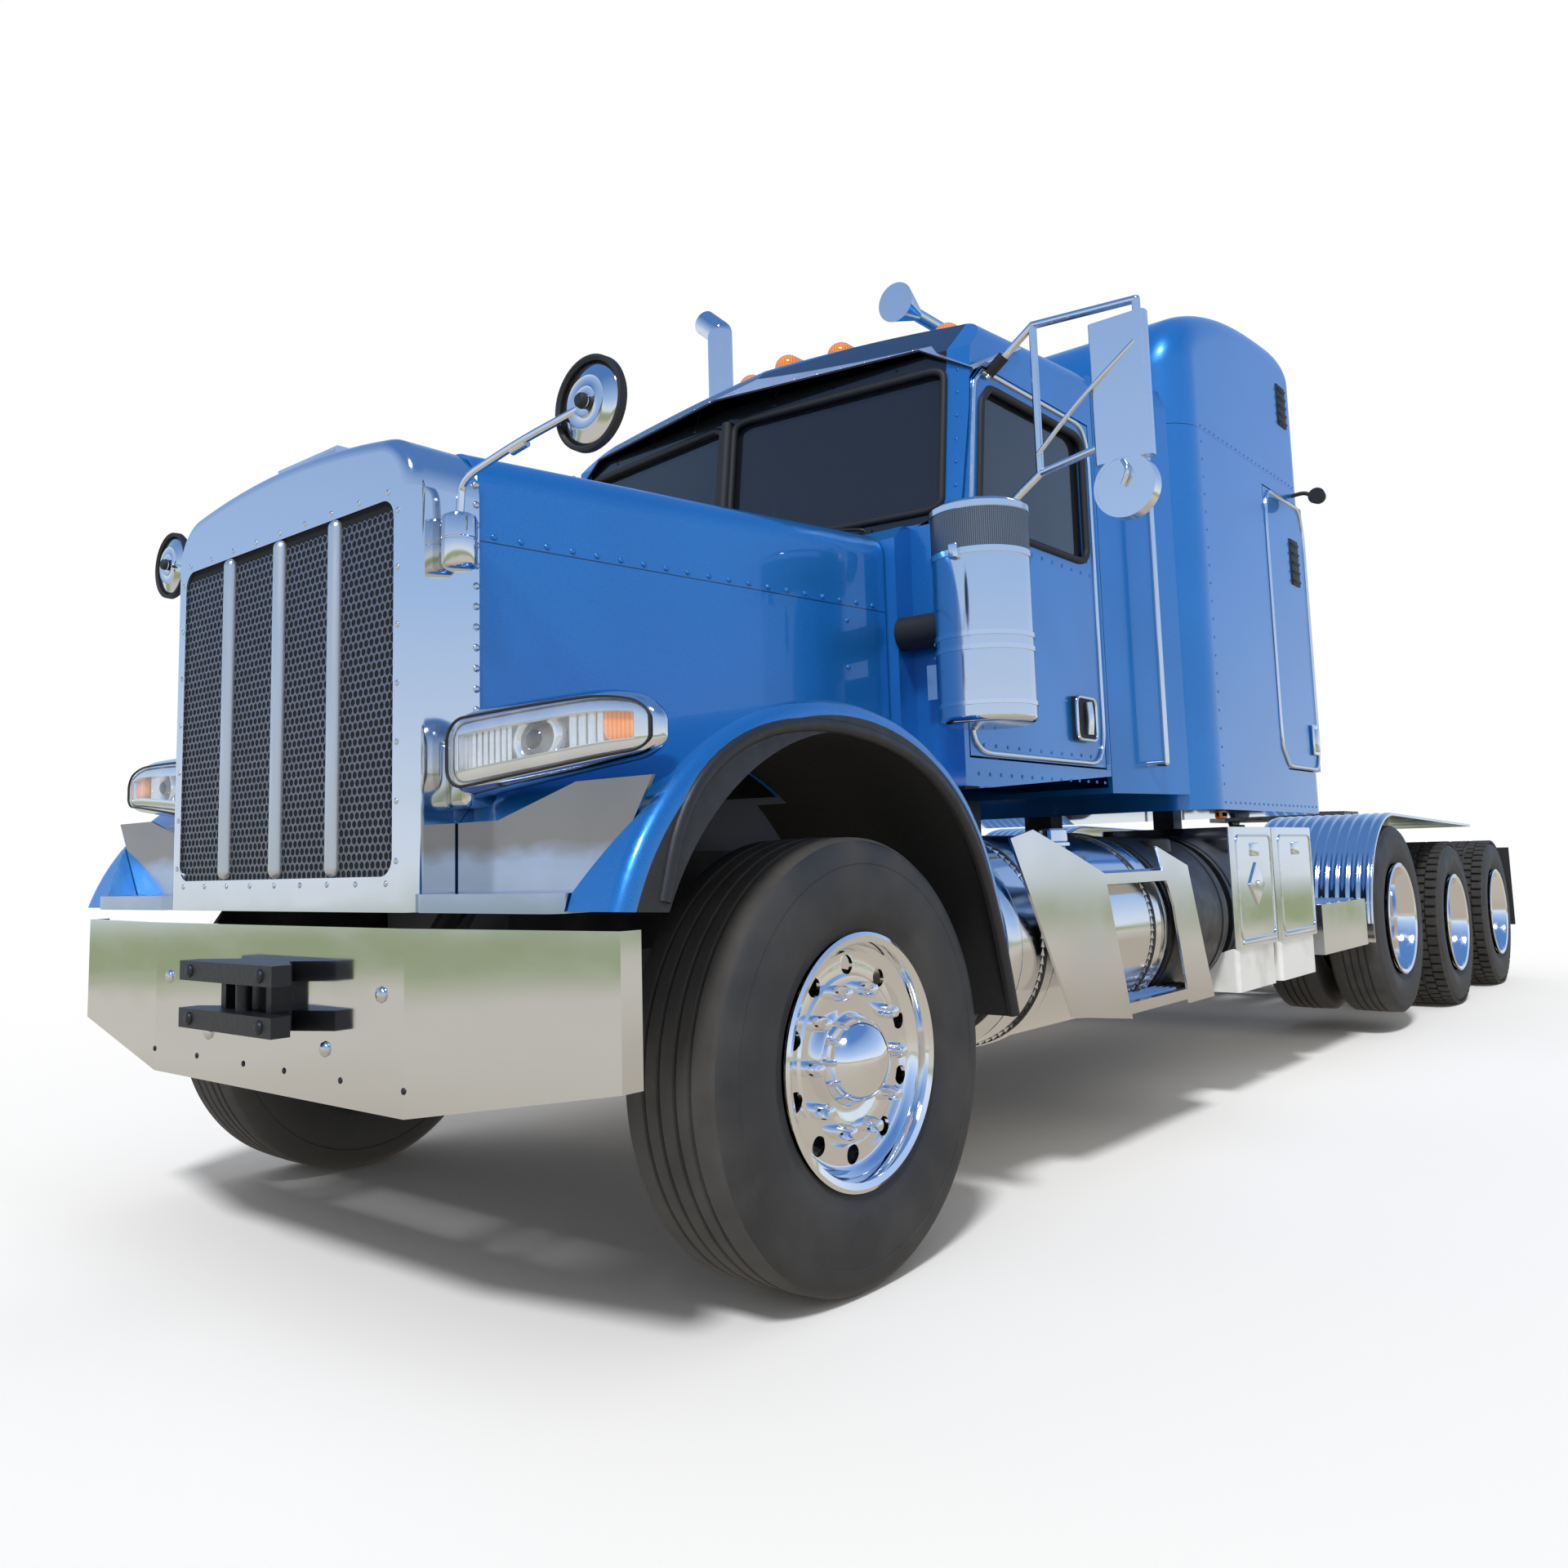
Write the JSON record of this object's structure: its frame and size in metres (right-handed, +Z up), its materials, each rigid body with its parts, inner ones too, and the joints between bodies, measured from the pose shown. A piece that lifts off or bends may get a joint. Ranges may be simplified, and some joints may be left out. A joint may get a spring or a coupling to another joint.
{
  "type": "semi truck tractor unit",
  "caption": "Heavy-haul conventional tractor unit with sleeper, tilting hood, hinged doors, steered wheels, twin rolling wheels on three axles and a rocking coupling plate.",
  "frame": {"origin": "on the ground, under the middle of the truck's length and width", "axes": "+X to the truck's left, +Y to its rear, +Z up"},
  "size_m": [3.0718, 9.382, 3.8745],
  "materials": {
    "body_paint": "metallic blue, clear coated",
    "polished_steel": "mirror polished stainless steel",
    "aluminium": "polished aluminium",
    "rim_aluminium": "mirror polished",
    "tyre": "matt rubber",
    "glass": "dark tinted",
    "amber_lens": "clear amber",
    "chassis_black": "satin black",
    "engine_grey": "cast",
    "black_plastic": "satin",
    "flap_rubber": "matt",
    "cab_trim": "grained"
  },
  "bodies": {
    "chassis": {"frame_rails": "chassis_black", "front_axle": "chassis_black", "rear_axles": "chassis_black", "drive_shafts": "chassis_black", "engine_block": "engine_grey", "radiator": "chassis_black", "front_bumper": "polished_steel", "tow_coupling": "chassis_black", "cab_shell": "body_paint", "windshield": "glass", "sun_visor": "polished_steel", "roof_lamps": "amber_lens", "air_horn": "polished_steel", "cab_interior": "cab_trim", "sleeper_shell": "body_paint", "sleeper_fairing": "body_paint", "air_cleaners": "polished_steel", "exhaust_stack": "polished_steel", "fuel_tanks": "aluminium", "tank_steps": "aluminium", "side_covers": "black_plastic", "tool_boxes": "aluminium", "step_boxes": "aluminium", "quarter_fenders": "aluminium", "mud_flaps": "flap_rubber", "fifth_wheel_base": "chassis_black"},
    "hood": {"hood_shell": "body_paint", "fenders": "body_paint", "grille_shell": "polished_steel", "grille_mesh": "aluminium", "fender_plates": "polished_steel", "headlights": "polished_steel", "hood_mirrors": "polished_steel"},
    "coupling_plate": {"fifth_wheel_plate": "chassis_black"},
    "door_left": {"door_left": "body_paint", "door_glass_left": "glass", "door_mirror_left": "polished_steel"},
    "luggage_door_left": {"luggage_door_left": "body_paint"},
    "knuckle_left": {"knuckle_left": "chassis_black"},
    "steer_wheel_left": {"steer_tyre_left": "tyre", "steer_rim_left": "rim_aluminium"},
    "pusher_wheel_left": {"pusher_tyres_left": "tyre", "pusher_rims_left": "rim_aluminium"},
    "drive_front_wheel_left": {"drive_front_tyres_left": "tyre", "drive_front_rims_left": "rim_aluminium"},
    "drive_rear_wheel_left": {"drive_rear_tyres_left": "tyre", "drive_rear_rims_left": "rim_aluminium"},
    "door_right": {"door_right": "body_paint", "door_glass_right": "glass", "door_mirror_right": "polished_steel"},
    "luggage_door_right": {"luggage_door_right": "body_paint"},
    "knuckle_right": {"knuckle_right": "chassis_black"},
    "steer_wheel_right": {"steer_tyre_right": "tyre", "steer_rim_right": "rim_aluminium"},
    "pusher_wheel_right": {"pusher_tyres_right": "tyre", "pusher_rims_right": "rim_aluminium"},
    "drive_front_wheel_right": {"drive_front_tyres_right": "tyre", "drive_front_rims_right": "rim_aluminium"},
    "drive_rear_wheel_right": {"drive_rear_tyres_right": "tyre", "drive_rear_rims_right": "rim_aluminium"}
  },
  "joints": [
    {"name": "hood_tilt", "type": "hinge", "parent": "chassis", "child": "hood", "pos_m": [0, -4.521, 0.76], "axis": [1, 0, 0], "range_deg": [0, 55]},
    {"name": "coupling_plate_pitch", "type": "hinge", "parent": "chassis", "child": "coupling_plate", "pos_m": [0, 3.351, 1.165], "axis": [1, 0, 0], "range_deg": [-6, 6]},
    {"name": "door_left_hinge", "type": "hinge", "parent": "chassis", "child": "door_left", "pos_m": [0.97, -2.7895, 1.9], "axis": [0, 0, -1], "range_deg": [0, 65]},
    {"name": "luggage_door_left_hinge", "type": "hinge", "parent": "chassis", "child": "luggage_door_left", "pos_m": [1.15, -0.3195, 2], "axis": [0, 0, -1], "range_deg": [0, 90]},
    {"name": "steer_left", "type": "hinge", "parent": "chassis", "child": "knuckle_left", "pos_m": [0.86, -3.721, 0.53], "axis": [0, 0, 1], "range_deg": [-35, 35]},
    {"name": "steer_wheel_left_roll", "type": "hinge", "parent": "knuckle_left", "child": "steer_wheel_left", "pos_m": [1.055, -3.721, 0.53], "axis": [1, 0, 0], "continuous": true},
    {"name": "pusher_wheel_left_roll", "type": "hinge", "parent": "chassis", "child": "pusher_wheel_left", "pos_m": [0.92, 1.289, 0.604], "axis": [1, 0, 0], "continuous": true},
    {"name": "drive_front_wheel_left_roll", "type": "hinge", "parent": "chassis", "child": "drive_front_wheel_left", "pos_m": [0.92, 2.664, 0.508], "axis": [1, 0, 0], "continuous": true},
    {"name": "drive_rear_wheel_left_roll", "type": "hinge", "parent": "chassis", "child": "drive_rear_wheel_left", "pos_m": [0.92, 4.039, 0.508], "axis": [1, 0, 0], "continuous": true},
    {"name": "door_right_hinge", "type": "hinge", "parent": "chassis", "child": "door_right", "pos_m": [-0.97, -2.7895, 1.9], "axis": [0, 0, 1], "range_deg": [0, 65]},
    {"name": "luggage_door_right_hinge", "type": "hinge", "parent": "chassis", "child": "luggage_door_right", "pos_m": [-1.15, -0.3195, 2], "axis": [0, 0, 1], "range_deg": [0, 90]},
    {"name": "steer_right", "type": "hinge", "parent": "chassis", "child": "knuckle_right", "pos_m": [-0.86, -3.721, 0.53], "axis": [0, 0, 1], "range_deg": [-35, 35]},
    {"name": "steer_wheel_right_roll", "type": "hinge", "parent": "knuckle_right", "child": "steer_wheel_right", "pos_m": [-1.055, -3.721, 0.53], "axis": [1, 0, 0], "continuous": true},
    {"name": "pusher_wheel_right_roll", "type": "hinge", "parent": "chassis", "child": "pusher_wheel_right", "pos_m": [-0.92, 1.289, 0.604], "axis": [1, 0, 0], "continuous": true},
    {"name": "drive_front_wheel_right_roll", "type": "hinge", "parent": "chassis", "child": "drive_front_wheel_right", "pos_m": [-0.92, 2.664, 0.508], "axis": [1, 0, 0], "continuous": true},
    {"name": "drive_rear_wheel_right_roll", "type": "hinge", "parent": "chassis", "child": "drive_rear_wheel_right", "pos_m": [-0.92, 4.039, 0.508], "axis": [1, 0, 0], "continuous": true}
  ],
  "couplings": [
    {"joint": "steer_right", "follows": "steer_left", "ratio": 1}
  ]
}
